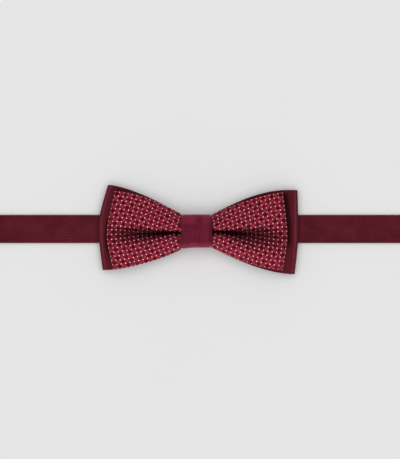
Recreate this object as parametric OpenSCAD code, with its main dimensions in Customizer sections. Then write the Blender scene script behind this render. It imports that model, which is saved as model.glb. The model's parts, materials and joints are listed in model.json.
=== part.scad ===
/* [Satin bow] */
// Length of the satin bow from one outer fold to the other
bow_length = 119; // [110:1:130]
// Height of the satin bow at its outer folds
bow_height = 51; // [44:1:56]
// Turn of the satin bow about the knot, in degrees
satin_tilt = -1.3; // [-3:0.1:0]

/* [Patterned bow] */
// Length of the patterned bow, which lies on the satin one
patterned_length = 107.5; // [100:0.5:112]
// Height of the patterned bow at its outer folds
patterned_height = 46.5; // [40:0.5:50]
// Turn of the patterned bow about the knot, in degrees
patterned_tilt = -0.3; // [-3:0.1:0]

/* [Knot] */
// Width of the knot wrap along the band
knot_width = 18.5; // [16:0.5:22]
// Height of the knot wrap across the band
knot_height = 19.9; // [19:0.1:22]
// Drop of the knot below the middle of the bows
knot_drop = 0.7; // [0:0.1:1]

/* [Neckband] */
// Width of the neckband
band_width = 16.9; // [14:0.1:17]
// Thickness of the neckband, two layers of satin on their interlining
band_thick = 0.9; // [0.7:0.1:0.9]
// Distance of the neckband's middle above the middle of the bows
band_lift = 0.5; // [0:0.1:0.6]
// Distance from the knot's middle to the first place where the band curls
first_curl = 31; // [28:1:34]
// Length of band between two places where it curls
curl_pitch = 18; // [16:1:18]
// Distance from the knot's middle to the tip of the hook and of the eye
band_reach = 222; // [216:1:230]

/* [Hook, eye and slider] */
// Thickness of the hook's and the eye's plate
plate_thick = 1.0; // [0.8:0.1:1.0]
// Distance from the knot's middle to the slider's middle
slider_place = 150; // [148:1:154]
// Width of the hook's tongue
tongue_width = 10; // [6:1:14]

/* [Hidden] */
curls = 6;
sides = ["left", "right"];

satin = [0.33, 0.11, 0.15];
weave = [0.50, 0.19, 0.23];
canvas = [0.80, 0.76, 0.70];
thread = [0.24, 0.07, 0.10];
nickel = [0.72, 0.72, 0.74];

// Gap left between pieces that lie on each other
gap = 0.1;
// Radial play of a bar in the strap that turns round it
bar_play = 0.05;

// Layers at the knot, from its back upwards
wrap_thick = 0.9;
band_low = wrap_thick + gap;
band_high = band_low + band_thick;
binding_thick = 0.35;
satin_low = band_high + binding_thick + 0.25;
satin_loop = 4.2;
patterned_low = satin_low + satin_loop + gap;
patterned_loop = 6.6;
patterned_high = patterned_low + patterned_loop;
padding_low = patterned_high + binding_thick + 0.25;
padding_thick = 1.9;
wrap_inside = padding_low + padding_thick + gap;
knot_thick = wrap_inside + wrap_thick;
wrap_corner = 3;
// The gap in the wrap's back, where stitches join its two ends
wrap_gap = 1.2;
wrap_opening = -5.5;
wrap_stitch_pitch = 4;

// Bows
waist_half = 7.6;
waist_reach = knot_width / 2 + 0.2;
cloth_wall = 0.8;
interlining_thick = 0.5;
outline_steps = 14;
round_fn = 48;

// Hook, eye and slider
bar_radius = 0.9;
bar_height = band_high + bar_play + bar_radius;
return_low = bar_height + bar_radius + bar_play;
turn_outside = bar_radius + bar_play + band_thick;
frame_inside = band_width / 2 + 0.75;
frame_rail = 1.4;
frame_outside = frame_inside + frame_rail;
bar_place = band_reach - 14;
loop_leg = 4;
plate_low = bar_height - plate_thick / 2;
hook_mouth = 1.6;
hook_plate = 3;
plate_start = bar_place + 5;
mouth_reach = 6;
eye_end = 2;
slider_length = 14;
slider_bar = 2;
slider_thick = 0.9;
slider_middle = 2.4;
tab_reach = 10;
tab_fold = 8;
tab_drop = 11;
eye_tab = 20;
stitch_radius = 0.2;
seam_place = first_curl + 2.5 * curl_pitch;

// ---- outlines ----

function bow_half(x, length, height) =
    waist_half + (height / 2 - waist_half)
    * sin(90 * max(0, x - waist_reach) / (length / 2 - waist_reach));

// A bow's outline from above: narrow at the waist, flaring to straight outer folds
module bow_outline(length, height, inset = 0) {
    last = length / 2 - inset;
    steps = [for (i = [0:outline_steps]) waist_reach + (last - waist_reach) * i / outline_steps];
    top = [for (x = steps) [x, bow_half(x, length, height) - inset]];
    turned = [for (i = [outline_steps:-1:0]) [-top[i][0], top[i][1]]];
    low = [for (p = concat(turned, top)) [-p[0], -p[1]]];
    polygon(concat(turned, top, low));
}

// A long flat loop seen from its open side
module flat_loop(half, low, high) {
    r = (high - low) / 2;
    translate([-half + r, low]) square([2 * (half - r), 2 * r]);
    for (s = [-1, 1]) translate([s * (half - r), low + r]) circle(r, $fn = round_fn);
}

// A rectangle with round corners, centred in x and standing on y = low
module rounded(width, low, high, r) {
    translate([-width / 2 + r, low]) square([width - 2 * r, high - low]);
    translate([-width / 2, low + r]) square([width, high - low - 2 * r]);
    for (x = [-1, 1], y = [low + r, high - r])
        translate([x * (width / 2 - r), y]) circle(r, $fn = round_fn);
}

// Draws an outline given in x and z as a solid along y
module along_y(width, middle = 0) {
    translate([0, middle + width / 2, 0]) rotate([90, 0, 0]) linear_extrude(width) children();
}

// Draws an outline given in y and z as a solid along x
module along_x(width) {
    translate([-width / 2, 0, 0]) rotate([90, 0, 90]) linear_extrude(width) children();
}

// ---- bows ----

module bow(length, height, tilt, low, high) {
    rotate([0, 0, tilt]) intersection() {
        along_y(2 * height) difference() {
            flat_loop(length / 2, low, high);
            flat_loop(length / 2 - cloth_wall, low + cloth_wall, high - cloth_wall);
        }
        linear_extrude(high + 1) bow_outline(length, height);
    }
}

// The interlining under the top of a bow; it ends where the cloth begins to turn
module bow_lining(length, height, tilt, low, high) {
    rotate([0, 0, tilt])
        translate([0, 0, high - cloth_wall - interlining_thick - gap])
            linear_extrude(interlining_thick)
                bow_outline(length, height, (high - low) / 2);
}

module satin_bow()
    color(satin) bow(bow_length, bow_height, satin_tilt, satin_low, satin_low + satin_loop);

module satin_bow_interlining()
    color(canvas)
        bow_lining(bow_length, bow_height, satin_tilt, satin_low, satin_low + satin_loop);

module patterned_bow()
    color(weave)
        bow(patterned_length, patterned_height, patterned_tilt, patterned_low, patterned_high);

module patterned_bow_interlining()
    color(canvas)
        bow_lining(
            patterned_length, patterned_height, patterned_tilt, patterned_low, patterned_high);

// ---- knot ----

module waist_binding_thread() {
    low = satin_low - gap - binding_thick;
    high = patterned_high + gap + binding_thick;
    half = waist_half + 0.15;
    color(thread) along_x(3) difference() {
        rounded(2 * (half + binding_thick), low, high, 0.8);
        rounded(2 * half, low + binding_thick, high - binding_thick, 0.4);
    }
}

module knot_padding()
    color(canvas) translate([0, -knot_drop, 0]) along_x(knot_width - 2)
        rounded(knot_height - 5.4, padding_low, padding_low + padding_thick, 0.9);

module knot_wrap() {
    inner = knot_height - 2 * wrap_thick;
    color(satin) translate([0, -knot_drop, 0]) along_x(knot_width) difference() {
        rounded(knot_height, 0, knot_thick, wrap_corner);
        rounded(inner, wrap_thick, wrap_inside, wrap_corner - wrap_thick);
        translate([wrap_opening, -1]) square([wrap_gap, wrap_thick + 1.5]);
    }
}

module knot_wrap_stitches()
    color(thread) for (i = [-1.5:1:1.5])
        translate([i * wrap_stitch_pitch, wrap_opening - knot_drop + wrap_gap, wrap_thick / 2])
            rotate([90, 0, 0]) cylinder(r = 0.25, h = wrap_gap, $fn = 24);

// ---- neckband ----

module band_piece(from, to, low = band_low)
    translate([from, band_lift - band_width / 2, low])
        cube([to - from, band_width, band_thick]);

// The middle of the band, drawn in where it passes through the knot
module neckband_centre() {
    drawn_in = knot_height - 2 * wrap_thick - 3.5;
    reach = knot_width / 2 + 0.5;
    color(satin) {
        band_piece(-first_curl, -reach);
        band_piece(reach, first_curl);
        translate([-reach, -knot_drop - drawn_in / 2, band_low])
            cube([2 * reach, drawn_in, band_thick]);
    }
}

// Piece i of the band on one side, between curl i and curl i + 1
module neckband_piece(side, i) {
    from = first_curl + (i - 1) * curl_pitch;
    end = side == "left" ? from + loop_leg : bar_place - loop_leg;
    to = i < curls ? from + curl_pitch : end;
    color(satin)
        if (side == "left") band_piece(-to, -from);
        else band_piece(from, to);
}

module neckband_seam_stitches()
    color(thread) for (i = [-2:2])
        translate([-seam_place, band_lift + i * 3.2, band_high + stitch_radius])
            rotate([90, 0, 0]) cylinder(r = stitch_radius, h = 1.4, center = true, $fn = 16);

module adjuster_outer_run()
    color(satin) band_piece(-bar_place + loop_leg, -first_curl - 5 * curl_pitch - loop_leg);

module adjuster_return_run()
    color(satin) band_piece(-bar_place + loop_leg, -slider_place - tab_reach, return_low);

// ---- hook end ----

// The strap where it turns round a bar, with a short leg above and one below
module strap_turn() {
    difference() {
        union() {
            translate([0, bar_height]) circle(turn_outside, $fn = round_fn);
            translate([0, band_low]) square([loop_leg, 2 * turn_outside]);
        }
        translate([0, bar_height]) circle(bar_radius + bar_play, $fn = round_fn);
        translate([0, band_high]) square([loop_leg + 1, 2 * (bar_radius + bar_play)]);
    }
}

module hook_strap_loop()
    color(satin) translate([-bar_place, 0, 0]) along_y(band_width, band_lift) strap_turn();

// Bar and two arms that carry it, reaching out to the plate
module bar_and_arms(reach) {
    translate([0, band_lift, bar_height]) rotate([90, 0, 0])
        cylinder(r = bar_radius, h = 2 * frame_outside, center = true, $fn = round_fn);
    for (s = [-1, 1])
        translate([0, band_lift + s * (frame_inside + frame_rail / 2) - frame_rail / 2, plate_low])
            cube([reach, frame_rail, plate_thick]);
}

module hook() {
    tip = band_reach - bar_place;
    bend = hook_mouth / 2 + plate_thick;
    start = plate_start - bar_place;
    color(nickel) mirror([1, 0, 0]) translate([bar_place, 0, 0]) {
        bar_and_arms(start + hook_plate);
        translate([start, band_lift - frame_outside, plate_low])
            cube([hook_plate, 2 * frame_outside, plate_thick]);
        along_y(tongue_width, band_lift) {
            translate([start, plate_low]) square([tip - bend - start, plate_thick]);
            translate([tip - bend, plate_low + bend]) intersection() {
                difference() {
                    circle(bend, $fn = round_fn);
                    circle(hook_mouth / 2, $fn = round_fn);
                }
                translate([0, -bend]) square([bend, 2 * bend]);
            }
            translate([tip - bend - mouth_reach, plate_low + plate_thick + hook_mouth])
                square([mouth_reach, plate_thick]);
        }
    }
}

// ---- slider ----

module slider_frame() {
    half = slider_length / 2;
    post = 4;
    color(nickel) translate([-slider_place, band_lift, 0]) {
        linear_extrude(slider_thick) difference() {
            translate([0, -frame_outside]) rounded(slider_length, 0, 2 * frame_outside, 2);
            translate([-half + slider_bar, -frame_inside])
                square([slider_length - 2 * slider_bar, 2 * frame_inside]);
        }
        for (s = [-1, 1])
            translate([-post / 2, s * (frame_inside + frame_rail / 2) - frame_rail / 2, 0])
                cube([post, frame_rail, return_low]);
        along_y(2 * frame_outside)
            flat_loop(slider_middle / 2, return_low - slider_thick, return_low);
    }
}

// The strap's sewn end: over the middle bar, round it and back underneath
module slider_strap_tab() {
    inner = slider_thick / 2;
    turn = slider_middle / 2 - inner;
    middle = return_low - inner;
    under = return_low - slider_thick;
    color(satin) translate([-slider_place, 0, 0]) {
        along_y(band_width, band_lift) translate([turn, middle]) intersection() {
            difference() {
                circle(inner + band_thick, $fn = round_fn);
                circle(inner, $fn = round_fn);
            }
            translate([-0.01, -3]) square([3, 6]);
        }
        along_y(band_width, band_lift)
            translate([-tab_reach, return_low]) square([tab_reach + turn, band_thick]);
        along_y(band_width, band_lift) polygon([
            [turn, under], [turn, under - band_thick], [-3, under - band_thick],
            [-tab_fold + 2, return_low - band_thick], [-tab_reach, return_low - band_thick],
            [-tab_reach, return_low + 0.1], [-tab_fold + 1.6, return_low + 0.1],
            [-tab_fold + 1.6, return_low], [-3.2, under],
        ]);
    }
}

// A close row of stitches across the strap, seen on the face at one height
module stitch_row(place, height, count = 9) {
    pitch = (band_width - 3) / count;
    for (i = [0:count - 1])
        translate([place, band_lift + (i - (count - 1) / 2) * pitch, height])
            rotate([90, 0, 0])
                cylinder(r = stitch_radius, h = pitch * 0.7, center = true, $fn = 16);
}

module slider_bar_tack()
    color(thread) for (x = [-1, 1])
        stitch_row(-slider_place - tab_fold + x * 0.8, return_low + band_thick + stitch_radius);

// ---- eye end ----

module eye_strap_loop() {
    lay = band_high + gap;
    color(satin) translate([bar_place, 0, 0]) mirror([1, 0, 0]) {
        along_y(band_width, band_lift) strap_turn();
        along_y(band_width, band_lift) polygon([
            [loop_leg - 0.1, return_low], [loop_leg - 0.1, return_low + band_thick],
            [tab_drop, lay + band_thick], [eye_tab, lay + band_thick],
            [eye_tab, lay], [tab_drop - 0.4, lay],
        ]);
    }
}

module eye_bar_tack()
    color(thread) for (x = [-1, 1]) {
        place = bar_place - eye_tab + 4 + x * 0.8;
        stitch_row(place, band_high + gap + band_thick + stitch_radius);
        stitch_row(place, band_low - stitch_radius);
    }

module eye() {
    tip = band_reach - bar_place;
    color(nickel) translate([bar_place, 0, 0]) {
        bar_and_arms(tip - 1);
        translate([tip - eye_end, band_lift - frame_outside, plate_low])
            cube([eye_end, 2 * frame_outside, plate_thick]);
    }
}

satin_bow();
satin_bow_interlining();
patterned_bow();
patterned_bow_interlining();
waist_binding_thread();
knot_padding();
knot_wrap();
knot_wrap_stitches();
neckband_centre();
for (side = sides) for (i = [1:curls])
    neckband_piece(side, i);
neckband_seam_stitches();
adjuster_outer_run();
adjuster_return_run();
hook_strap_loop();
hook();
slider_frame();
slider_strap_tab();
slider_bar_tack();
eye_strap_loop();
eye_bar_tack();
eye();
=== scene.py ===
"""The looks of a ready-tied, layered bow tie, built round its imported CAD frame.

Shapes are worked out in millimetres in the frame's own axes: x along the neckband, y towards the
bow's top edge and z out of its front. Each piece of cloth is a strip: a grid of points for its
middle surface, made thick, with folded edges, and with UVs that count millimetres of cloth.

In the bows, w is a distance from the knot's middle along either wing, and t is a place across the
cloth as it lay flat, counted upwards from the crease that runs along the wing.
"""
import json
import math
from dataclasses import dataclass
from typing import NamedTuple

import bpy
import numpy as np
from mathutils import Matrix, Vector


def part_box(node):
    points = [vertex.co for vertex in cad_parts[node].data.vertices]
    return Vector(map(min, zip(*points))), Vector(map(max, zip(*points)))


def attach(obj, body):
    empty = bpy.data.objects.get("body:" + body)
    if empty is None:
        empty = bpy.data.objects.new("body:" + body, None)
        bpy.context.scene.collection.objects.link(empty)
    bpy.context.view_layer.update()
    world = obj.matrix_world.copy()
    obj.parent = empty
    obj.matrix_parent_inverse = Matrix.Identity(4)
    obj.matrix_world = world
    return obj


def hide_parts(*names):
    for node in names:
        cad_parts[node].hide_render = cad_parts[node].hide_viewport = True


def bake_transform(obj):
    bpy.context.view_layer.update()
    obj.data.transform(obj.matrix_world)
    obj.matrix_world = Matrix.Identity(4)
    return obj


MM = 0.001
PI = math.pi
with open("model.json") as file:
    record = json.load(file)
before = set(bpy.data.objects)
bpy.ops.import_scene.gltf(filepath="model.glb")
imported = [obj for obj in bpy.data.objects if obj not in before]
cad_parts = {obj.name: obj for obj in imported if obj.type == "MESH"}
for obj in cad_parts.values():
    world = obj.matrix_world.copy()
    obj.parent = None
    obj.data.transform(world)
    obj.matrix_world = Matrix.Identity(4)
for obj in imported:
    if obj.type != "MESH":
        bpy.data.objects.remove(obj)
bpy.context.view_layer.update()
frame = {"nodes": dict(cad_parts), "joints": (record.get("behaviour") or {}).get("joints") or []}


def box(node):
    """A CAD node's lowest and highest corner in millimetres."""
    low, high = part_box(node)
    return np.array(low) / MM, np.array(high) / MM


# ---- places that the frame gives ----

band_low, band_high = box("neckband_right_2")
BAND_MIDDLE = (band_low[1] + band_high[1]) / 2
BAND_HALF = (band_high[1] - band_low[1]) / 2
BAND_LEVEL = (band_low[2] + band_high[2]) / 2
BAND_THICK = 0.86

knot_low, knot_high = box("knot_wrap")
KNOT_MIDDLE = (knot_low[1] + knot_high[1]) / 2
KNOT_HALF_HEIGHT = (knot_high[1] - knot_low[1]) / 2
KNOT_HALF = knot_high[0]
KNOT_TOP = knot_high[2]

hinges = {joint["name"]: joint["pos_m"] for joint in frame["joints"] if joint["type"] == "hinge"}
HINGE_X = {name: abs(place[0]) / MM for name, place in hinges.items()}
CURLS = 6            # hinges along each half of the neckband
PITCH = HINGE_X["left_curl_2"] - HINGE_X["left_wrap"]
BAR_X = HINGE_X["hook_swivel"]
BAR_Z = hinges["hook_swivel"][2] / MM
LOOP_LEG = 4         # straight part of a strap's loop, up to its bar
LOOP_RADIUS = BAR_Z - BAND_LEVEL
RETURN_LEVEL = 2 * BAR_Z - BAND_LEVEL


# ---- camera, floor and light ----

CAMERA_HEIGHT = 1800
CAMERA_PLACE = (2.1, 0.2)
VIEW_LENGTH = 275.4  # what the picture's long side covers
SENSOR = 36


def make_camera():
    """Straight down on the bow, from far off."""
    data = bpy.data.cameras.new("camera")
    data.sensor_width = SENSOR
    data.lens = SENSOR * CAMERA_HEIGHT / VIEW_LENGTH
    data.clip_end = 50
    camera = bpy.data.objects.new("camera", data)
    camera.location = (CAMERA_PLACE[0] * MM, CAMERA_PLACE[1] * MM, CAMERA_HEIGHT * MM)
    bpy.context.scene.collection.objects.link(camera)
    bpy.context.scene.camera = camera


def area_light(name, floor, place, size, power, lights_floor=False):
    """A round softbox, in metres and watts, that points at the bow tie. It lights either only the
    floor or all but the floor."""
    data = bpy.data.lights.new(name, "AREA")
    data.shape = "DISK"
    data.size = size
    data.energy = power
    light = bpy.data.objects.new(name, data)
    light.location = place
    light.rotation_mode = "QUATERNION"
    light.rotation_quaternion = light.location.to_track_quat("Z", "Y")
    light.visible_camera = False
    bpy.context.scene.collection.objects.link(light)
    reach = bpy.data.collections.new(name + "_reach")
    reach.objects.link(floor)
    reach.collection_objects[0].light_linking.link_state = "INCLUDE" if lights_floor else "EXCLUDE"
    light.light_linking.receiver_collection = reach


def make_world(light, background):
    """An even white sky, with one strength as a light and another as the camera sees it."""
    world = bpy.data.worlds.new("studio")
    world.use_nodes = True
    tree = world.node_tree
    sky = tree.nodes["Background"]
    sky.inputs["Color"].default_value = (1, 1, 1, 1)
    rays = tree.nodes.new("ShaderNodeLightPath")
    strength = tree.nodes.new("ShaderNodeMapRange")
    strength.inputs["To Min"].default_value = light
    strength.inputs["To Max"].default_value = background
    tree.links.new(rays.outputs["Is Camera Ray"], strength.inputs["Value"])
    tree.links.new(strength.outputs[0], sky.inputs["Strength"])
    bpy.context.scene.world = world


def make_studio():
    """A pale table under a broad light of its own, and three softboxes that light the bow tie only."""
    bpy.ops.mesh.primitive_plane_add(size=6, location=(0, 0, 0))
    floor = bpy.context.object
    floor.name = "floor"
    floor.data.materials.append(floor_material())
    area_light("key_light", floor, place=(-0.16, -0.88, 0.62), size=0.5, power=9.0)
    area_light("top_light", floor, place=(0.05, -0.15, 1.1), size=1.0, power=1.6)
    area_light("rim_light", floor, place=(0.16, 0.92, 0.50), size=0.5, power=4.2)
    area_light("floor_light", floor, place=(0, 0, 2.6), size=4.2, power=52.5, lights_floor=True)
    make_world(light=0.5, background=0.78)
    bpy.context.scene.view_settings.view_transform = "Standard"


# ---- materials ----

class Shader:
    """A material's node tree, with short ways to add what the materials here use."""

    def __init__(self, name):
        self.material = bpy.data.materials.new(name)
        self.material.use_nodes = True
        self.tree = self.material.node_tree
        self.surface = self.tree.nodes["Principled BSDF"]

    def node(self, kind, **settings):
        made = self.tree.nodes.new(kind)
        for key, value in settings.items():
            setattr(made, key, value)
        return made

    def link(self, source, target):
        self.tree.links.new(source, target)

    def feed(self, target, value):
        """Gives an input a socket, a number or a colour."""
        if isinstance(value, bpy.types.NodeSocket):
            self.link(value, target)
        elif isinstance(value, tuple):
            target.default_value = (*value, 1)
        else:
            target.default_value = value

    def math(self, operation, *values):
        made = self.node("ShaderNodeMath", operation=operation)
        for target, value in zip(made.inputs, values):
            self.feed(target, value)
        return made.outputs[0]

    def plus(self, first, second):
        return self.math("ADD", first, second)

    def minus(self, first, second):
        return self.math("SUBTRACT", first, second)

    def times(self, first, second):
        return self.math("MULTIPLY", first, second)

    def wave(self, value, length):
        """A sine wave from -1 to 1."""
        return self.math("SINE", self.times(value, 2 * PI / length))

    def step(self, value, start, end):
        """0 below start and 1 above end, with a soft change between; the other way if start > end."""
        made = self.node("ShaderNodeMapRange", interpolation_type="SMOOTHSTEP")
        flip = start > end
        low, high = sorted((start, end))
        settings = (value, low, high, float(flip), float(not flip))
        for target, given in zip(made.inputs, settings):
            self.feed(target, given)
        return made.outputs[0]

    def mix(self, share, first, second, kind="MIX"):
        """Two colours mixed. The node's colour sockets are inputs 6 and 7 and output 2."""
        made = self.node("ShaderNodeMix", data_type="RGBA", blend_type=kind)
        self.feed(made.inputs["Factor"], share)
        self.feed(made.inputs[6], first)
        self.feed(made.inputs[7], second)
        return made.outputs[2]

    def noise(self, size, detail, where=None):
        """Cloudy values from 0 to 1, with spots of about size mm."""
        made = self.node("ShaderNodeTexNoise")
        made.inputs["Scale"].default_value = 1 / size
        made.inputs["Detail"].default_value = detail
        self.link(where or self.place(), made.inputs["Vector"])
        return made.outputs["Fac"]

    def scatter(self, size, amount):
        """A number round 0 that changes over size mm, for ragged outlines."""
        return self.times(self.minus(self.noise(size, 1), 0.5), amount)

    def place(self):
        """The point's place on the piece in millimetres."""
        coordinates = self.node("ShaderNodeTexCoord")
        scaled = self.node("ShaderNodeVectorMath", operation="SCALE")
        self.link(coordinates.outputs["Object"], scaled.inputs[0])
        scaled.inputs["Scale"].default_value = 1 / MM
        return scaled.outputs[0]

    def cloth(self):
        """Millimetres along the cloth and across it, from the UVs."""
        uv = self.node("ShaderNodeUVMap", uv_map="cloth")
        split = self.node("ShaderNodeSeparateXYZ")
        self.link(uv.outputs[0], split.inputs[0])
        return split.outputs[0], split.outputs[1]

    def shaded(self, colour, power=1.0):
        """The colour, dimmed by painted shade deep in the folds and in shadows, and only in the deepest
        if power is high.
        """
        white, darkest = (1.0, 1.0, 1.0), (0.05, 0.03, 0.03)
        shade = self.node("ShaderNodeAttribute", attribute_name="shade").outputs["Fac"]
        dim = self.mix(self.math("POWER", shade, power), white, darkest)
        return self.mix(1.0, colour, dim, "MULTIPLY")

    def bump(self, height, depth, strength=1.0):
        """Relief in the surface: depth mm for a height of 1."""
        made = self.node("ShaderNodeBump")
        made.inputs["Strength"].default_value = strength
        made.inputs["Distance"].default_value = depth * MM
        self.link(height, made.inputs["Height"])
        self.link(made.outputs[0], self.surface.inputs["Normal"])

    def finish(self, colour, roughness, **constants):
        """The material, once its surface has its inputs. A name has _ for each space."""
        self.feed(self.surface.inputs["Base Color"], colour)
        self.feed(self.surface.inputs["Roughness"], roughness)
        for key, value in constants.items():
            self.feed(self.surface.inputs[key.replace("_", " ")], value)
        return self.material


def floor_material():
    shader = Shader("pale_paper")
    cloud = shader.noise(60, 3)
    colour = shader.mix(cloud, (0.80, 0.80, 0.80), (0.815, 0.815, 0.815))
    return shader.finish(colour, 0.9)


FOLD_HIGHLIGHT_INSET = 1.5     # distance from an outer fold to the thin painted highlight line along it


def satin_material(name, deep, light, sheen):
    """Burgundy satin: long floats of thread that run along the strip, with a soft pink sheen."""
    thread_width, float_length, float_shift = 0.22, 1.1, 0.37
    shader = Shader(name)
    plus, times = shader.plus, shader.times
    along, across = shader.cloth()
    threads = shader.wave(across, thread_width)
    thread_number = shader.math("FLOOR", shader.math("DIVIDE", across, thread_width))
    floats = shader.wave(plus(along, times(thread_number, float_shift)), float_length)
    slub = shader.noise(0.5, 2)
    height = plus(times(threads, 0.5), times(floats, 0.2))
    shader.bump(plus(height, slub), 0.028, 0.6)
    stretched = shader.node("ShaderNodeCombineXYZ")
    shader.link(times(along, 0.06), stretched.inputs[0])
    shader.link(across, stretched.inputs[1])
    streaks = shader.step(shader.noise(0.45, 3, stretched.outputs[0]), 0.3, 0.7)
    cloud = shader.step(shader.noise(7, 4), 0.3, 0.7)
    colour = shader.mix(plus(times(cloud, 0.6), times(streaks, 0.4)), deep, light)
    colour = shader.mix(shader.step(threads, -1, 1), colour, shader.mix(0.5, colour, light))
    # Painted highlight: a thin lighter, pinker line near each outer fold, where its rounding would
    # catch the light.
    from_highlight_line = shader.math("ABSOLUTE", shader.minus(along, FOLD_HIGHLIGHT_INSET))
    fold_highlight = times(shader.step(from_highlight_line, 0.8, 0.15), 0.6)
    highlight_colour = shader.mix(1.0, light, (1.9, 2.3, 2.3), "MULTIPLY")
    colour = shader.shaded(shader.mix(fold_highlight, colour, highlight_colour))
    return shader.finish(
        colour, 0.42, Specular_IOR_Level=0.3, Specular_Tint=(0.9, 0.12, 0.20), Anisotropic=0.5,
        Sheen_Weight=sheen, Sheen_Roughness=0.3, Sheen_Tint=(1.0, 0.35, 0.48),
    )


CELL = 2.6           # distance between two dots
THREADS = 8          # threads in one cell


def dotted_material():
    """A check of dark and bright red squares between a grid of raised white dots."""
    ground_colours = (0.072, 0.003, 0.008), (0.305, 0.020, 0.040)
    bright_colours = (0.19, 0.008, 0.018), (0.39, 0.029, 0.049)
    dark_colours = (0.010, 0.0006, 0.0015), (0.036, 0.002, 0.006)
    white_colours = (0.50, 0.30, 0.32), (0.97, 0.78, 0.78)
    plum, between_threads = (0.13, 0.010, 0.034), (0.05, 0.002, 0.006)
    dot_radius, square_half = (0.152, 0.10), (0.32, 0.27)    # outer and inner limit, in cells

    shader = Shader("dotted_weave")
    plus, minus, times, step = shader.plus, shader.minus, shader.times, shader.step
    along, across = shader.cloth()
    cells = [shader.math("DIVIDE", value, CELL) for value in (along, across)]
    from_middle = [shader.math("ABSOLUTE", minus(shader.math("FRACT", c), 0.5)) for c in cells]
    from_corner = [minus(0.5, distance) for distance in from_middle]
    squares = [shader.math("POWER", distance, 2) for distance in from_corner]
    far = shader.math("SQRT", plus(*squares))
    dot = step(plus(far, shader.scatter(1.6, 0.09)), *dot_radius)
    jitter = shader.scatter(0.8, 0.24)
    square = step(plus(shader.math("MAXIMUM", *from_middle), jitter), *square_half)
    number = plus(*[shader.math("FLOOR", c) for c in cells])
    odd = shader.math("GREATER_THAN", shader.math("FRACT", times(number, 0.5)), 0.25)
    patchy = step(shader.noise(6, 2), 0.35, 0.6)
    dark = times(times(square, odd), plus(0.55, times(patchy, 0.45)))
    bright = times(times(square, minus(1, odd)), 0.6)
    warp, weft = [shader.wave(value, CELL / THREADS) for value in (along, across)]
    grain = plus(times(warp, 0.5), times(weft, 0.5))
    fibre = step(shader.noise(0.75, 4), 0.36, 0.64)
    ground = shader.mix(fibre, *ground_colours)
    tint = times(step(shader.noise(1.1, 3), 0.44, 0.6), 0.55)
    ground = shader.mix(tint, ground, plum)
    ground = shader.mix(times(step(grain, 0.2, -0.8), 0.45), ground, between_threads)
    colour = shader.mix(bright, ground, shader.mix(fibre, *bright_colours))
    colour = shader.mix(dark, colour, shader.mix(fibre, *dark_colours))
    worn = step(shader.noise(1.6, 2), 0.38, 0.6)
    white = shader.mix(worn, *white_colours)
    # The painted shade dims the ground fully, and the white dots only where it is deepest.
    colour = shader.mix(dot, shader.shaded(colour), shader.shaded(white, 3.0))
    height = minus(plus(times(grain, 0.22), dot), times(dark, 0.45))
    shader.bump(height, 0.12, 0.8)
    return shader.finish(
        colour, 0.5, Specular_IOR_Level=0.25, Specular_Tint=(1.0, 0.10, 0.16),
        Sheen_Weight=0.06, Sheen_Roughness=0.3, Sheen_Tint=(1.0, 0.3, 0.38),
    )


def thread_material():
    shader = Shader("sewing_thread")
    twist = shader.noise(0.25, 2)
    colour = shader.mix(twist, (0.07, 0.009, 0.016), (0.15, 0.028, 0.042))
    shader.bump(twist, 0.05)
    return shader.finish(colour, 0.55, Sheen_Weight=0.2, Sheen_Roughness=0.4)


def canvas_material():
    """Matt interlining of plain weave."""
    thread_pitch = 0.5
    shader = Shader("interlining")
    place = shader.node("ShaderNodeSeparateXYZ")
    shader.link(shader.place(), place.inputs[0])
    weave = shader.times(*[shader.wave(place.outputs[axis], thread_pitch) for axis in (0, 1)])
    colour = shader.mix(shader.step(weave, -1, 1), (0.58, 0.52, 0.43), (0.74, 0.69, 0.60))
    shader.bump(weave, 0.06)
    return shader.finish(colour, 0.9)


def metal_material():
    """Satin nickel with faint brushing and duller patches from handling."""
    shader = Shader("satin_nickel")
    patches = shader.noise(5, 4)
    brushing = shader.noise(0.3, 2)
    colour = shader.mix(patches, (0.55, 0.54, 0.52), (0.68, 0.67, 0.64))
    roughness = shader.plus(0.26, shader.times(brushing, 0.16))
    shader.bump(brushing, 0.01, 0.4)
    return shader.finish(colour, roughness, Metallic=1.0)


# ---- meshes ----

def grow(value, start, end):
    """0 up to start and 1 from end on, with a soft change between."""
    share = np.clip((value - start) / (end - start), 0, 1)
    return share * share * (3 - 2 * share)


def fade(value, start, end):
    """1 up to start and 0 from end on, with a soft change between."""
    return 1 - grow(value, start, end)


def softplus(value, sharpness):
    """The value where it is above 0, else 0, with a soft corner."""
    return np.logaddexp(0, value * sharpness) / sharpness


def bell(value, width):
    return np.exp(-((value / width) ** 2))


def unit(vectors):
    return vectors / np.maximum(np.linalg.norm(vectors, axis=-1, keepdims=True), 1e-9)


def grid(*parts):
    """Points or UVs from their coordinates: grids, rows, columns or numbers."""
    return np.stack(np.broadcast_arrays(*parts), axis=-1)


def path_lengths(points):
    """How far along a path each of its points lies."""
    return np.concatenate([[0], np.cumsum(np.linalg.norm(np.diff(points, axis=0), axis=1))])


def add_object(name, points, faces, material, uvs=None, sharp_faces=(), shade=None):
    """A smooth-shaded mesh from points in millimetres. uvs holds one pair for each face corner, and
    shade one number for each point."""
    mesh = bpy.data.meshes.new(name)
    mesh.from_pydata((np.asarray(points) * MM).tolist(), [], [list(map(int, f)) for f in faces])
    if uvs is not None:
        layer = mesh.uv_layers.new(name="cloth")
        layer.data.foreach_set("uv", np.asarray(uvs, np.float32).ravel())
    mesh.polygons.foreach_set("use_smooth", [True] * len(mesh.polygons))
    crisp = {key for number in sharp_faces for key in mesh.polygons[number].edge_keys}
    if crisp:
        for edge in mesh.edges:
            edge.use_edge_sharp = tuple(sorted(edge.vertices)) in crisp
    if shade is not None:
        layer = mesh.attributes.new("shade", "FLOAT", "POINT")
        layer.data.foreach_set("value", np.asarray(shade, np.float32).ravel())
    mesh.validate()
    mesh.materials.append(material)
    made = bpy.data.objects.new(name, mesh)
    bpy.context.scene.collection.objects.link(made)
    return made


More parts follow.
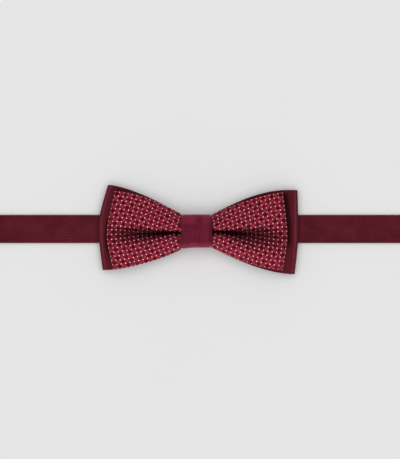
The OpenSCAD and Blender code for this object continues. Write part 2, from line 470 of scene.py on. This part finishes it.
def strip(name, middle, cloth, thick, material, closed=False, shade=None):
    """A strip of cloth round its middle surface, with rounded edges.

    middle is a grid of points (along, across, 3) and cloth the same grid's UVs, with one more row
    for the way back to the start if the strip is closed. shade is a grid of numbers from 0, open to
    the light, to 1, deep in a fold; it is all 0 if left out.
    """
    round_steps = 4
    count = len(middle)
    if closed:
        around = np.concatenate([middle[-1:], middle, middle[:1]])
        along = (around[2:] - around[:-2]) / 2
    else:
        along = np.gradient(middle, axis=0)
    across = np.gradient(middle, axis=1)
    normal = unit(np.cross(along, across))
    half = thick / 2
    offset = normal * half
    angles = np.linspace(0, PI, round_steps + 2)[1:-1]

    def edge(column, direction, start):
        out = unit(across[:, column]) * direction
        turns = [math.cos(a) * start * normal[:, column] + math.sin(a) * out for a in angles]
        return middle[:, column, None] + half * np.stack(turns, axis=1)

    def edge_uv(column, direction):
        shift = np.zeros((1, round_steps, 2))
        shift[0, :, 1] = direction * half * np.sin(angles)
        return cloth[:, column, None] + shift

    ring = np.concatenate(
        [middle + offset, edge(-1, 1, 1), (middle - offset)[:, ::-1], edge(0, -1, -1)], axis=1
    )
    ring_uv = np.concatenate([cloth, edge_uv(-1, 1), cloth[:, ::-1], edge_uv(0, -1)], axis=1)
    width = ring.shape[1]
    if shade is None:
        shade = np.zeros(middle.shape[:2])
    ends = [np.repeat(shade[:, [side]], round_steps, axis=1) for side in (-1, 0)]
    ring_shade = np.concatenate([shade, ends[0], shade[:, ::-1], ends[1]], axis=1)
    rows = count if closed else count - 1
    i, k = np.meshgrid(np.arange(rows), np.arange(width), indexing="ij")
    i, k = i.ravel(), k.ravel()
    after, beside = (i + 1) % count, (k + 1) % width
    faces = np.stack(
        [i * width + k, after * width + k, after * width + beside, i * width + beside], axis=1
    )
    uvs = np.stack(
        [ring_uv[i, k], ring_uv[i + 1, k], ring_uv[i + 1, beside], ring_uv[i, beside]], axis=1
    )
    faces, uvs, caps = faces.tolist(), list(uvs.reshape(-1, 2)), []
    if not closed:
        last = (count - 1) * width
        caps = [len(faces), len(faces) + 1]
        faces += [list(range(width)), list(range(last + width - 1, last - 1, -1))]
        uvs += list(ring_uv[0]) + list(ring_uv[-1, ::-1])
    return add_object(name, ring.reshape(-1, 3), faces, material, uvs, caps, ring_shade)


def closed_body(rings):
    """Points and faces of a body from a row of rings, capped at both ends."""
    count, sides = rings.shape[:2]
    faces = []
    for start in range(0, (count - 1) * sides, sides):
        for k in range(sides):
            beside = (k + 1) % sides
            faces.append([start + k, start + beside, start + sides + beside, start + sides + k])
    last = (count - 1) * sides
    faces += [list(range(sides - 1, -1, -1)), list(range(last, last + sides))]
    return rings.reshape(-1, 3), faces


def tube(path, radius, sides=8):
    """Points and faces of a round thread along a path, with rounded ends."""
    path = np.asarray(path, float)
    ahead = unit(np.gradient(path, axis=0))
    askew = np.array([0.31, 0.17, 0.93])    # no thread here runs this way
    side = unit(np.cross(ahead, askew))
    up = np.cross(ahead, side)
    angles = np.arange(sides)[None, :, None] * 2 * PI / sides
    sizes = np.full(len(path), radius)
    sizes[[0, -1]] = radius * 0.55
    around = np.cos(angles) * side[:, None] + np.sin(angles) * up[:, None]
    return closed_body(path[:, None] + sizes[:, None, None] * around)


def threads(name, node, body, paths, radius, material):
    """Several lengths of thread as one object that rides on a body in place of a CAD node."""
    points, faces = [], []
    for path in paths:
        more, more_faces = tube(path, radius)
        start = sum(len(p) for p in points)
        points.append(more)
        faces += [[start + v for v in face] for face in more_faces]
    made = add_object(name, np.concatenate(points), faces, material)
    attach(made, body)
    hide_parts(node)


# ---- bows ----

class Edge(NamedTuple):
    """How high an edge of a wing lies over the crease. It grows like a quarter of a sine wave."""
    knot: float         # height at the knot
    full: float         # height once it has grown
    growth: float       # distance from the knot to there, which may lie past the outer fold
    power: float = 1    # below 1, it grows sooner


@dataclass
class Wing:
    """One side of a bow."""
    side: int           # 1 on the right, -1 on the left
    reach: float        # from the knot's middle to the outer fold
    crease: tuple       # the crease's y at the knot and at the outer fold
    lean: tuple         # how far the outer fold leans in at its upper and lower corner
    top: Edge
    bottom: Edge
    lift: float = 0.0   # how far the outer end is raised
    shadow: tuple = ()  # painted shadow on the bow below, beside the outer fold: width, lowest and highest place
    flank: float = 5.0  # how much wider the crease's painted shade grows below it


@dataclass
class Bow:
    """A strip of cloth sewn into a flat loop: folded at its outer ends, pleated at the waist."""
    node: str
    up: float           # cloth above the crease
    low: float          # cloth below it
    wings: list         # the right one and the left one
    level: float        # height of the back panel
    rise: tuple         # front panel over back panel, near the knot and at the outer fold
    edge_rise: tuple    # the same at the upper and lower edges
    pleat_drop: float   # depth of the pleat that takes in the spare cloth
    trough: float       # depth of the hollow round the crease
    crest: tuple        # where the front turns down to its upper and lower edge, as a share
    thick: float
    teeth: float = 0.0  # how far the weave's teeth stand out along the edges

    @property
    def width(self):
        return self.up + self.low


SHRINK = 0.97        # how much narrower than flat the cloth lies, because it is curved
PLEAT = 0.7          # share of the spare cloth that goes down into the pleat
CREASE_BEND = 1.5    # sharpness of the bend where the cloth goes down into the pleat
WAIST = (7.6, 8.3)   # half height of a bow in the middle of the knot and at the knot's edge
WAIST_MIDDLE = -1.0  # the waist's middle line in y
FOLD_DEPTH = 0.22    # height of the small folds that the knot presses into the cloth
COLUMNS = 97         # points across a bow's cloth
STATIONS = 84        # points along one panel of a wing


def crease_line(wing, w):
    """The crease's y, which changes evenly from the knot to the outer fold."""
    start, end = wing.crease
    outwards = np.clip((w - KNOT_HALF) / (wing.reach - KNOT_HALF), 0, 1)
    return start + (end - start) * outwards


def outer_fold(bow, wing, t):
    """Distance of the outer fold from the knot's middle at each column: it leans in at its corners."""
    soft = 8.0
    half = np.where(t >= 0, bow.up, bow.low)
    lean = np.where(t >= 0, *wing.lean)
    bend = (np.sqrt(t**2 + soft**2) - soft) / (np.sqrt(half**2 + soft**2) - soft)
    return wing.reach - lean * bend


def edge_height(edge, w):
    """Height of an edge over the crease at w. Inside the knot it narrows to the waist."""
    grown = np.clip((w - KNOT_HALF) / edge.growth, 0, 1) ** edge.power
    outside = edge.knot + (edge.full - edge.knot) * np.sin(PI / 2 * grown)
    waist = WAIST[0] + (WAIST[1] - WAIST[0]) * grow(w, 0, 7)
    return waist + (outside - waist) * grow(w - KNOT_HALF, -0.7, 0.6)


def nearer_edge(wing, w, upper):
    """Height over the crease of the edge on the same side of it."""
    return np.where(upper, edge_height(wing.top, w), edge_height(wing.bottom, w))


def trough_sides(w):
    """How far the crease's hollow reaches above it, where it ends in a lip, and below it."""
    outwards = grow(w - KNOT_HALF, 0, 34)
    return 0.8 + 3.2 * outwards, 4.2 + 3.3 * outwards


def gather(size, half, edge):
    """The front panel's cloth drawn together at the crease: how far from it each column comes to lie,
    and how deep in the pleat, from 0 to 1. size is the column's distance when flat."""
    spare = half * SHRINK - edge
    past_pleat = SHRINK * size - spare * (PLEAT + (1 - PLEAT) * size / half)
    spread = softplus(past_pleat, CREASE_BEND) * np.tanh(size / 0.9)
    opening = 0.4 * np.tanh(size / 0.7) * np.clip(spare / 4, 0, 1)
    spread = spread + opening * np.exp(-np.maximum(past_pleat, 0) / 3)
    dive = softplus(-past_pleat, CREASE_BEND)
    deepest = softplus(PLEAT * spare, CREASE_BEND)
    return spread, np.tanh(dive / 2.0) / np.tanh(deepest / 2.0)


def crease_fall(bow, w, deep, spread, upper):
    """How far the front panel sinks round its crease. deep is the hollow's depth at w."""
    floor_up, flank_low = trough_sides(w)
    lip = 0.6 * np.clip(1 - (spread - floor_up) / 3, 0, 1) ** 1.7
    above = (1 - 0.25 * np.clip(spread / floor_up, 0, 1)) * fade(spread - floor_up, 0, 0.7)
    hollow = np.where(upper, above, fade(spread, 0, flank_low))
    return deep * hollow + np.where(upper, lip * (1 - hollow), 0) * deep / bow.trough


def panels(bow, wing, w, t):
    """Front and back panel of one wing at distances w from the knot's middle: y and z of both."""
    upper = t >= 0
    size = np.abs(t)
    sign = np.where(upper, 1.0, -1.0)
    half = np.where(upper, bow.up, bow.low)
    edge = nearer_edge(wing, w, upper)
    spread, dive = gather(size, half, edge)
    share = np.clip(spread / edge, 0, 1.05)

    back_z = bow.level + wing.lift * grow(w, 20, 50)
    rise = bow.rise[1] + (bow.rise[0] - bow.rise[1]) * fade(w, 12, wing.reach - 1)
    edge_fading = fade(w, 9, wing.reach - 4)
    edge_rise = bow.edge_rise[1] + (bow.edge_rise[0] - bow.edge_rise[1]) * edge_fading
    deep = bow.trough * (0.1 + 0.9 * fade(w, 26, wing.reach - 3))
    drop = bow.pleat_drop * fade(w, 26, wing.reach - 1)
    crest = np.where(upper, *bow.crest)
    outer = np.clip((share - crest) / (1 - crest), 0, 1.1) ** 2
    fall = crease_fall(bow, w, deep, spread, upper)
    front_z = back_z + rise - fall - (rise - edge_rise) * outer - np.maximum(drop - deep, 0) * dive

    # The knot's small folds, and soft unevenness further out.
    pinch = FOLD_DEPTH * np.exp(-np.maximum(w - KNOT_HALF, 0) / 9)
    ripple = np.sin(2 * PI * (share * 3.2 + 0.15 * sign)) * grow(share, 0, 0.35)
    front_z = front_z + pinch * ripple * np.clip(bow.rise[0] / 5, 0, 1)
    s = outer_fold(bow, wing, t) - w
    phase = 1.3 * wing.side + bow.level
    uneven = 0.10 * np.sin(s / 6.5 + phase) * np.sin(t / 5.5 + 2 * phase)
    front_z = front_z + uneven * grow(s, 0, 12)
    back_ripple = pinch * np.sin(2 * PI * 3.5 * t / half)
    back_z = back_z + back_ripple + 0.05 * np.sin(s / 8 + t / 9)

    crease = crease_line(wing, w)
    return crease + sign * spread, front_z, crease + sign * edge * size / half, back_z


def crease_shade(wing, w, front_y):
    """Painted shade on the front panel in and round its crease, from 0 to 1."""
    above_line = front_y - crease_line(wing, w)
    floor_up, _ = trough_sides(w)
    outwards = grow(w - KNOT_HALF, 0, 26)
    soft = 0.6 + 2.0 * outwards
    upper = fade(above_line - floor_up, -0.4 * soft, 0.6 * soft)
    bottom = 0.3 + 0.9 * outwards
    lower = fade(-above_line, bottom, bottom + 2.2 + wing.flank * outwards)
    along = 1 - 0.1 * grow(w, 20, 36) - 0.5 * grow(w, 38, wing.reach)
    return np.where(above_line > 0, upper, lower) * along


def covered_shade(above, above_wing, w, front_y):
    """Painted shadow on the cloth beside and under the bow on it, from 0 to 1."""
    darkest, fading = 0.95, 6
    height = front_y - crease_line(above_wing, w)
    past_fold = w - outer_fold(above, above_wing, height / SHRINK)
    past_edge = np.abs(height) - nearer_edge(above_wing, w, height >= 0)
    width, lowest, highest = above_wing.shadow
    beside = fade(past_fold / width, 0.5, 1.3)
    between = grow(height, lowest - fading, lowest) * fade(height, highest, highest + fading)
    return darkest * beside * between * fade(past_edge, -0.9, 0)


def teeth_shift(bow, s, w):
    """How far each point moves out for the small teeth along both edges, one to a cell of the weave.

    s is the distance from the outer fold."""
    rim = np.linspace(-1, 1, COLUMNS)[None, :]
    at_edge = np.clip((np.abs(rim) - 0.95) / 0.05, 0, 1) * np.sign(rim)
    teeth = bow.teeth * (np.abs(np.sin(PI * s / CELL)) - 0.5)
    return teeth * at_edge * grow(w, 9, 18)


def bow_grid(bow, inset=0.0, thick=None, above=None):
    """Middle surface, UVs and shade of the loop. Each is a list of the right wing's front, turn and
    back and of the left wing's back, turn and front. above is the bow that lies on this one."""
    margin = inset + (bow.thick if thick is None else thick) / 2
    t = np.linspace(-bow.low + margin, bow.up - margin, COLUMNS)[None, :]
    stations = np.sin(PI / 2 * np.linspace(0, 1, STATIONS)[:, None] ** 1.05)
    turn = np.linspace(0, PI, 12)[1:-1, None]
    rows, cloth, shades = [], [], []
    for wing in bow.wings:
        fold = outer_fold(bow, wing, t) - bow.thick / 2
        _, top, _, bottom = panels(bow, wing, fold - bow.rise[1] / 2, t)
        last = fold - (top - bottom) / 2 - inset
        w = stations * last
        front_y, front_z, back_y, back_z = panels(bow, wing, w, t)
        front_y = front_y + teeth_shift(bow, fold - w, w)
        front = grid(wing.side * w, front_y, front_z)
        back = grid(wing.side * w, back_y, back_z)[::-1]
        middle_z = (front_z[-1:] + back_z[-1:]) / 2
        r = (front_z[-1:] - back_z[-1:]) / 2
        turned = turn / PI
        round_y = front_y[-1:] * (1 - turned) + back_y[-1:] * turned
        round_x = wing.side * (last + r * np.sin(turn))
        round_z = middle_z + r * np.cos(turn)
        # Painted shade: the shadow that the bow above casts on this one, or else the darkness in and
        # round the crease.
        if above:
            front_shade = covered_shade(above, above.wings[len(rows)], w, front_y)
        else:
            front_shade = crease_shade(wing, w, front_y)
        points = [front, grid(round_x, round_y, round_z), back]
        coordinates = [grid(fold - w, t), grid(r - r * turn, t), grid((w - fold)[::-1] - 4, t)]
        shade = [front_shade, np.zeros(round_y.shape), np.zeros(w.shape)]
        for parts, whole in ((points, rows), (coordinates, cloth), (shade, shades)):
            if wing.side < 0:
                parts = [part[::-1] for part in reversed(parts)]
            whole.append(parts)
    return rows, cloth, shades


def make_bow(bow, material, above=None):
    """The whole loop. Only the UVs keep the last row, which lies on the first one."""
    middle, uv, shade = [
        np.concatenate([*right, back[1:], turn, front])
        for right, (back, turn, front) in bow_grid(bow, above=above)
    ]
    made = strip(
        bow.node + "_cloth", middle[:-1], uv, bow.thick, material, closed=True, shade=shade[:-1]
    )
    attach(made, "bow")
    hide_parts(bow.node)
    length = sum(2 * wing.reach + 4 for wing in bow.wings)


def make_interlining(bow, node, material):
    """A canvas strip inside the loop, close under the whole front panel."""
    thick, inset, gap = 0.4, 2.0, 0.08
    front, uv, _ = [
        np.concatenate([left[-1], right[0][1:]]) for right, left in bow_grid(bow, inset, thick)
    ]
    normal = unit(np.cross(np.gradient(front, axis=0), np.gradient(front, axis=1)))
    below = front - normal * (bow.thick / 2 + thick / 2 + gap)
    made = strip(node + "_canvas", below, uv, thick, material)
    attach(made, "bow")
    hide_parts(node)
    length = sum(wing.reach - inset for wing in bow.wings)


SATIN_THICK, PATTERNED_THICK = 0.6, 0.7
satin_low, _ = box("satin_bow")
patterned_low, _ = box("patterned_bow")

SATIN_BOW = Bow(
    "satin_bow", up=25.5, low=25.5,
    wings=[
        Wing(
            1, reach=61.1, crease=(-0.8, -1.4), lean=(0.6, 2.3),
            top=Edge(9.9, 25.2, growth=46), bottom=Edge(9.7, 25.3, growth=51),
        ),
        Wing(
            -1, reach=58.8, crease=(-0.8, 1.2), lean=(5.8, 2.6),
            top=Edge(10.0, 26.5, growth=50), bottom=Edge(9.7, 25.3, growth=50),
        ),
    ],
    level=satin_low[2] + SATIN_THICK / 2 + 0.05, rise=(3.4, 3.3), edge_rise=(2.3, 2.9),
    pleat_drop=1.6, trough=0.9, crest=(0.3, 0.4), thick=SATIN_THICK,
)
PATTERNED_BOW = Bow(
    "patterned_bow", up=26.2, low=20.9,
    wings=[
        Wing(
            1, reach=54.2, crease=(-0.7, -3.7), lean=(2.7, 2.7), lift=1.7, flank=9.5,
            top=Edge(9.9, 27.4, growth=58), bottom=Edge(9.9, 20.5, growth=43),
            shadow=(3.3, -3, 24),
        ),
        Wing(
            -1, reach=53.6, crease=(-1.3, -2.8), lean=(4.8, 3.9),
            top=Edge(10.6, 26.0, growth=46, power=0.95),
            bottom=Edge(10.4, 21.3, growth=50, power=0.9), shadow=(1.6, -9, 6),
        ),
    ],
    level=patterned_low[2] + PATTERNED_THICK / 2 + 0.1, rise=(5.7, 4.0), edge_rise=(1.3, 2.8),
    pleat_drop=4.6, trough=3.9, crest=(0.22, 0.5), thick=PATTERNED_THICK, teeth=0.55,
)


# ---- knot ----

def rounded_path(half, low, high, corner_low, corner_high, crown, steps=10, count=161):
    """A closed path in y and z round the knot, from the back's middle towards +y and over the front."""
    points = []
    corners = [
        (half - corner_low, low + corner_low, corner_low, -PI / 2),
        (half - corner_high, high - corner_high, corner_high, 0),
        (-half + corner_high, high - corner_high, corner_high, PI / 2),
        (-half + corner_low, low + corner_low, corner_low, PI),
    ]
    for y, z, radius, start in corners:
        points += arc((y, z), radius, start, start + PI / 2, steps)
    points = np.array([*points, points[0]])
    lengths = path_lengths(points)
    where = np.linspace(0, lengths[-1], count)
    path = grid(*[np.interp(where, lengths, points[:, axis]) for axis in (0, 1)])
    lifted = grow(path[:, 1], high - 2, high)
    path[:, 1] += crown * lifted * (1 - (path[:, 0] / half) ** 2)
    return path, lengths[-1]


WRAP_THICK = 0.8
WRAP_SEAM = -5.0     # where the wrap's two ends meet on the back, from the knot's middle
FRONT_Z = (9, 14)    # heights between which the wrap turns into the knot's front


def wrap_shade(share, y, dimple, front):
    """Painted shade along the wrap's sides, in its dimple, over its calm middle and on its back. The
    front's top and bottom strips, left out, are a painted highlight.
    """
    sides = np.maximum(0.55 * grow(share, 0.5, 0.9), 0.7 * grow(-share, 0.84, 0.98))
    sides = sides * fade(np.abs(y + 1), 4, 8) * front
    plain = fade(y, 3, 5.5) * grow(y, -8.3, -7.1)
    return np.maximum(np.maximum(sides, 0.42 * dimple * front), 0.33 * (1 - front * (1 - plain)))


def make_knot_wrap(material):
    """A band of satin round the knot, with turned-in sides, a dimple, and its ends met on the back."""
    inset, crown, seam_gap, columns = WRAP_THICK / 2, 0.4, 0.3, 41
    path, length = rounded_path(
        KNOT_HALF_HEIGHT - inset, knot_low[2] + inset, KNOT_TOP - inset - crown,
        corner_low=2.0, corner_high=3.6, crown=crown,
    )
    on_back = np.abs(path[:, 1] - path[:, 1].min()) < 0.02
    seam = np.argmin(np.where(on_back, np.abs(path[:, 0] - WRAP_SEAM), np.inf))
    path = np.concatenate([path[seam:-1], path[:seam + 1]])
    path[0, 0] += seam_gap
    path[-1, 0] -= seam_gap
    x = np.linspace(-1, 1, columns) * (KNOT_HALF - inset)
    outward = unit(grid(np.gradient(path[:, 1]), -np.gradient(path[:, 0])))
    share = x / KNOT_HALF
    path_y, path_z = path[:, 0, None], path[:, 1, None]

    settle = 0.8 * np.abs(share) ** 5
    front = grow(path_z, *FRONT_Z)
    flare = 1.1 * bell(share + 1, 0.45) * grow(-path_y, 0, 10)
    dimple = bell(x - 1.6, 1.9) * bell(path_y - 6.2, 2.0)
    soft_folds = 0.20 * np.sin(x * 0.9 + 1.0) + 0.10 * np.sin(x * 1.9)
    y = path_y - outward[:, 0, None] * settle * front - flare * front
    z = path_z - outward[:, 1, None] * settle * front - (0.8 * dimple - soft_folds) * front
    middle = grid(x, y + KNOT_MIDDLE, z)
    cloth = grid(np.linspace(0, length, len(path))[:, None], x)
    # Painted shade on the sides, in the dimple, over the middle and on the back; the front's top and
    # bottom strips are left light as a painted highlight.
    shade = wrap_shade(share, path_y, dimple, front)
    made = strip(
        "knot_wrap_cloth", middle[:, ::-1], cloth[:, ::-1], WRAP_THICK, material, shade=shade[:, ::-1]
    )
    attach(made, "bow")
    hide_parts("knot_wrap")


THREAD_RADIUS = 0.15


def make_knot_stitches(material):
    """Slanted whip stitches that hold the wrap's ends together on its back."""
    row_half, pitch, reach, slant = 7.5, 1.25, 1.0, 0.35
    level = knot_low[2] + 0.33
    a = np.linspace(0, PI, 7)
    y = KNOT_MIDDLE + WRAP_SEAM - reach * np.cos(a)
    z = np.maximum(level - 0.42 * np.sin(a), 0.02)
    paths = [
        grid(x + slant * np.cos(a), y, z)
        for x in np.arange(-row_half, row_half + 0.1, pitch)
    ]
    node = "knot_wrap_stitches"
    threads(node + "_thread", node, "bow", paths, THREAD_RADIUS, material)


def make_binding(material):
    """Turns of thread wound tightly round both bows' waist."""
    low, high = box("waist_binding_thread")
    turns, steps, radius, inset = 8, 60, 0.16, 0.3
    half, low_z, high_z = WAIST[0] + 0.35, low[2] + 0.2, high[2] - 0.15
    path = []
    for k in range(turns * steps + 1):
        a = 2 * PI * k / steps
        c, s = math.cos(a), math.sin(a)
        x = low[0] + inset + (high[0] - low[0] - 2 * inset) * k / (turns * steps)
        y = WAIST_MIDDLE + half * math.copysign(abs(c) ** 0.45, c)
        z = (low_z + high_z) / 2 + (high_z - low_z) / 2 * math.copysign(abs(s) ** 0.3, s)
        path.append((x, y, z))
    threads("waist_binding_turns", "waist_binding_thread", "bow", [path], radius, material)


def make_padding(material):
    """A soft crowned pad between the bows' waist and the wrap's front."""
    low, high = box("knot_padding")
    centre, half = (low + high) / 2, (high - low) / 2 * np.array([0.95, 0.86, 0.9])
    u = np.linspace(0, 2 * PI, 48, endpoint=False)
    v = np.linspace(-PI / 2, PI / 2, 18)[1:-1]

    def power(value, exponent):
        return np.sign(value) * np.abs(value) ** exponent

    across = power(np.cos(v), 0.35)[:, None]
    x = centre[0] + half[0] * across * power(np.cos(u), 0.5)
    y = centre[1] + half[1] * across * power(np.sin(u), 0.5)
    bulge = 1 - 0.25 * ((x - centre[0]) / half[0]) ** 2 - 0.25 * ((y - centre[1]) / half[1]) ** 2
    z = centre[2] + half[2] * power(np.sin(v), 0.8)[:, None] * bulge
    made = add_object("knot_padding_pad", *closed_body(grid(x, y, z)), material)
    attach(made, "bow")
    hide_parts("knot_padding")


# ---- neckband ----

SEAM_X = -(HINGE_X["left_wrap"] + 2.5 * PITCH)
BAND_COLUMNS = 33


def band_points(x, y_share):
    """Middle surface of the flat band at x, for y_share from -1 to 1 across it."""
    narrow_half = 7.1    # where the band passes through the knot
    tucked = fade(np.abs(x), 9.4, 12.9)
    half = (BAND_HALF - BAND_THICK / 2) * (1 - tucked) + narrow_half * tucked
    middle = BAND_MIDDLE * (1 - tucked) + KNOT_MIDDLE * tucked
    quiet = fade(np.abs(x), 118, 130)    # flat at the ends, under sewn things
    wave = 0.09 * np.sin(x / 7.1 + 1.2 * y_share) + 0.06 * np.sin(x / 3.3 + 2 * y_share + 1)
    groove = 0.22 * bell(x - SEAM_X, 0.5)
    z = BAND_LEVEL + wave * quiet * (1 - tucked) - groove
    return grid(x, middle + half * y_share, z)


def band_piece(name, start, end, material, step=0.6):
    """A length of band from x = start to x = end, in place of the CAD's if it has one of that name."""
    count = max(8, int(round(abs(end - start) / step)) + 1)
    x = np.linspace(start, end, count)[:, None]
    across = np.linspace(-1, 1, BAND_COLUMNS)[None, :]
    cloth = grid(x, across * BAND_HALF)
    made = strip(name + "_cloth", band_points(x, across), cloth, BAND_THICK, material)
    if name in frame["nodes"]:
        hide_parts(name)
    return made


def make_neckband(material):
    """The band as a row of pieces end to end: a middle one, and on each side one centred on each hinge.
    """
    first = HINGE_X["left_wrap"] - PITCH / 2
    centre = band_piece("neckband_centre", -first, first, material)
    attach(centre, "bow")
    for side, sign in (("left", -1), ("right", 1)):
        for k in range(1, CURLS + 1):
            hinge = HINGE_X[f"{side}_wrap" if k == 1 else f"{side}_curl_{k}"]
            start, end = hinge - PITCH / 2, hinge + PITCH / 2
            node = f"neckband_{side}_{k}"
            piece = band_piece(node, *sorted((sign * start, sign * end)), material)
            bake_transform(piece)


def strap(name, path, material, step=0.45):
    """A length of strap in place of the CAD node called name. It follows a path of x and z."""
    path = np.asarray(path, float)
    lengths = path_lengths(path)
    where = np.linspace(0, lengths[-1], max(8, int(lengths[-1] / step)))
    x, z = (np.interp(where, lengths, path[:, axis])[:, None] for axis in (0, 1))
    across = np.linspace(-1, 1, BAND_COLUMNS)[None, :]
    y = BAND_MIDDLE + (BAND_HALF - BAND_THICK / 2) * across
    cloth = grid(where[:, None] + path[0, 0], across * BAND_HALF)
    made = strip(name + "_cloth", grid(x, y, z), cloth, BAND_THICK, material)
    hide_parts(name)
    return made


def arc(centre, radius, start, end, steps=14):
    """Points on part of a circle in a plane."""
    angles = np.linspace(start, end, steps)
    return [(centre[0] + radius * math.cos(a), centre[1] + radius * math.sin(a)) for a in angles]


tab_low, _ = box("slider_strap_tab")
SLIDER_BAR_X = tab_low[0] + 10    # the sewn end reaches 10 mm past the bar


def make_left_end(material):
    """The adjustable end: out to the hook's bar, round it, and back to the slider."""
    turn_x = -BAR_X + LOOP_LEG
    band_end = -(HINGE_X["left_curl_6"] + PITCH / 2)
    run = band_piece("adjuster_outer_run", turn_x, band_end, material)
    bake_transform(run)
    round_bar = arc((-BAR_X, BAR_Z), LOOP_RADIUS, -PI / 2, -3 * PI / 2)
    turn = [(turn_x, BAND_LEVEL), *round_bar, (turn_x, RETURN_LEVEL)]
    loop = strap("hook_strap_loop", turn, material)
    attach(loop, "hook_strap")
    straight = [(turn_x, RETURN_LEVEL), (tab_low[0], RETURN_LEVEL)]
    back = strap("adjuster_return_run", straight, material)
    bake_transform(back)


def make_slider_tab(material):
    """The strap's sewn end: round the slider's middle bar and back under itself."""
    bar_half = 0.75
    bar_z = RETURN_LEVEL - BAND_THICK / 2 - 0.49
    under_bar = 2 * bar_z - RETURN_LEVEL
    under_strap = RETURN_LEVEL - BAND_THICK - 0.05
    end = strap("slider_strap_tab", [
        (tab_low[0], RETURN_LEVEL),
        *arc((SLIDER_BAR_X + bar_half, bar_z), RETURN_LEVEL - bar_z, PI / 2, -PI / 2),
        (SLIDER_BAR_X - 2.5, under_bar),
        (SLIDER_BAR_X - 4.5, under_bar + 0.25),
        (SLIDER_BAR_X - 6.8, under_strap),
        (tab_low[0] + 0.1, under_strap),
    ], material)
    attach(end, "slider")


eye_loop_low, _ = box("eye_strap_loop")


def make_right_end(material):
    """The fixed end: out to the eye's bar, round it, and sewn down on the band."""
    turn_x = BAR_X - LOOP_LEG
    band_end = HINGE_X["right_curl_6"] + PITCH / 2
    run = band_piece("neckband_right_end", band_end, turn_x, material)
    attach(run, "right_band_6")
    lay = BAND_LEVEL + BAND_THICK + 0.12
    loop = strap("eye_strap_loop", [
        (turn_x, BAND_LEVEL),
        *arc((BAR_X, BAR_Z), LOOP_RADIUS, -PI / 2, PI / 2),
        (turn_x, RETURN_LEVEL),
        (turn_x - 1.5, RETURN_LEVEL - 0.15),
        (turn_x - 6, lay + 0.25),
        (turn_x - 8, lay),
        (eye_loop_low[0], lay),
    ], material)
    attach(loop, "right_band_6")


def make_bar_tack(node, body, material, x, levels):
    """A dense zigzag of thread across the strap at x, once at each level."""
    half_width, half_length, turns = 0.9, BAND_HALF - 1.6, 34
    rows = np.arange(turns + 1)
    fine = np.linspace(0, turns, turns * 4 + 1)
    corner_x = x + half_width * np.where(rows % 2 == 0, -1, 1)
    corner_y = BAND_MIDDLE + half_length * (2 * rows / turns - 1)
    paths = [
        grid(np.interp(fine, rows, corner_x), np.interp(fine, rows, corner_y), level)
        for level in levels
    ]
    threads(node + "_thread", node, body, paths, THREAD_RADIUS, material)


def make_seam_stitches(material):
    """Small stitches across the band's joining seam."""
    row_half, pitch, reach, slant = 7.4, 1.85, 0.55, 0.25
    a = np.linspace(0, PI, 6)
    x = SEAM_X - reach * np.cos(a)
    z = BAND_LEVEL + BAND_THICK / 2 - 0.1 + 0.2 * np.sin(a)
    paths = [
        grid(x, BAND_MIDDLE + y + slant * np.cos(a), z)
        for y in np.arange(-row_half, row_half + 0.1, pitch)
    ]
    node = "neckband_seam_stitches"
    threads(node + "_thread", node, "left_band_3", paths, 0.11, material)


def finish_metal(material):
    """Hook, eye and slider keep their CAD shape, with softened edges."""
    for name in ("hook", "eye", "slider_frame"):
        node = frame["nodes"][name]
        node.data.materials.clear()
        node.data.materials.append(material)
        bevel = node.modifiers.new("softened_edges", "BEVEL")
        bevel.width = 0.18 * MM
        bevel.segments = 3
        bevel.limit_method = "ANGLE"
        bevel.angle_limit = math.radians(40)


def main():
    make_camera()
    make_studio()
    satin = satin_material(
        "burgundy_satin", deep=(0.034, 0.0041, 0.0066), light=(0.078, 0.0097, 0.0152), sheen=0.10
    )
    # A lighter, pinker copy of the satin for the wrap: its painted shade darkens the middle, and the
    # top and bottom strips it leaves light are a painted highlight.
    knot_satin = satin_material(
        "knot_satin", deep=(0.075, 0.0070, 0.0155), light=(0.166, 0.0145, 0.0370), sheen=0.35
    )
    dotted, thread = dotted_material(), thread_material()
    canvas, metal = canvas_material(), metal_material()

    make_bow(SATIN_BOW, satin, above=PATTERNED_BOW)
    make_bow(PATTERNED_BOW, dotted)
    make_interlining(SATIN_BOW, "satin_bow_interlining", canvas)
    make_interlining(PATTERNED_BOW, "patterned_bow_interlining", canvas)
    make_binding(thread)
    make_padding(canvas)
    make_knot_wrap(knot_satin)
    make_knot_stitches(thread)

    make_neckband(satin)
    make_seam_stitches(thread)
    make_left_end(satin)
    make_slider_tab(satin)
    make_right_end(satin)
    on_strap = RETURN_LEVEL + BAND_THICK / 2 + 0.1
    make_bar_tack("slider_bar_tack", "slider", thread, SLIDER_BAR_X - 8, [on_strap])
    on_band = BAND_LEVEL + BAND_THICK * 1.5 + 0.22
    make_bar_tack(
        "eye_bar_tack", "right_band_6", thread, eye_loop_low[0] + 4, [on_band, THREAD_RADIUS]
    )
    finish_metal(metal)


main()
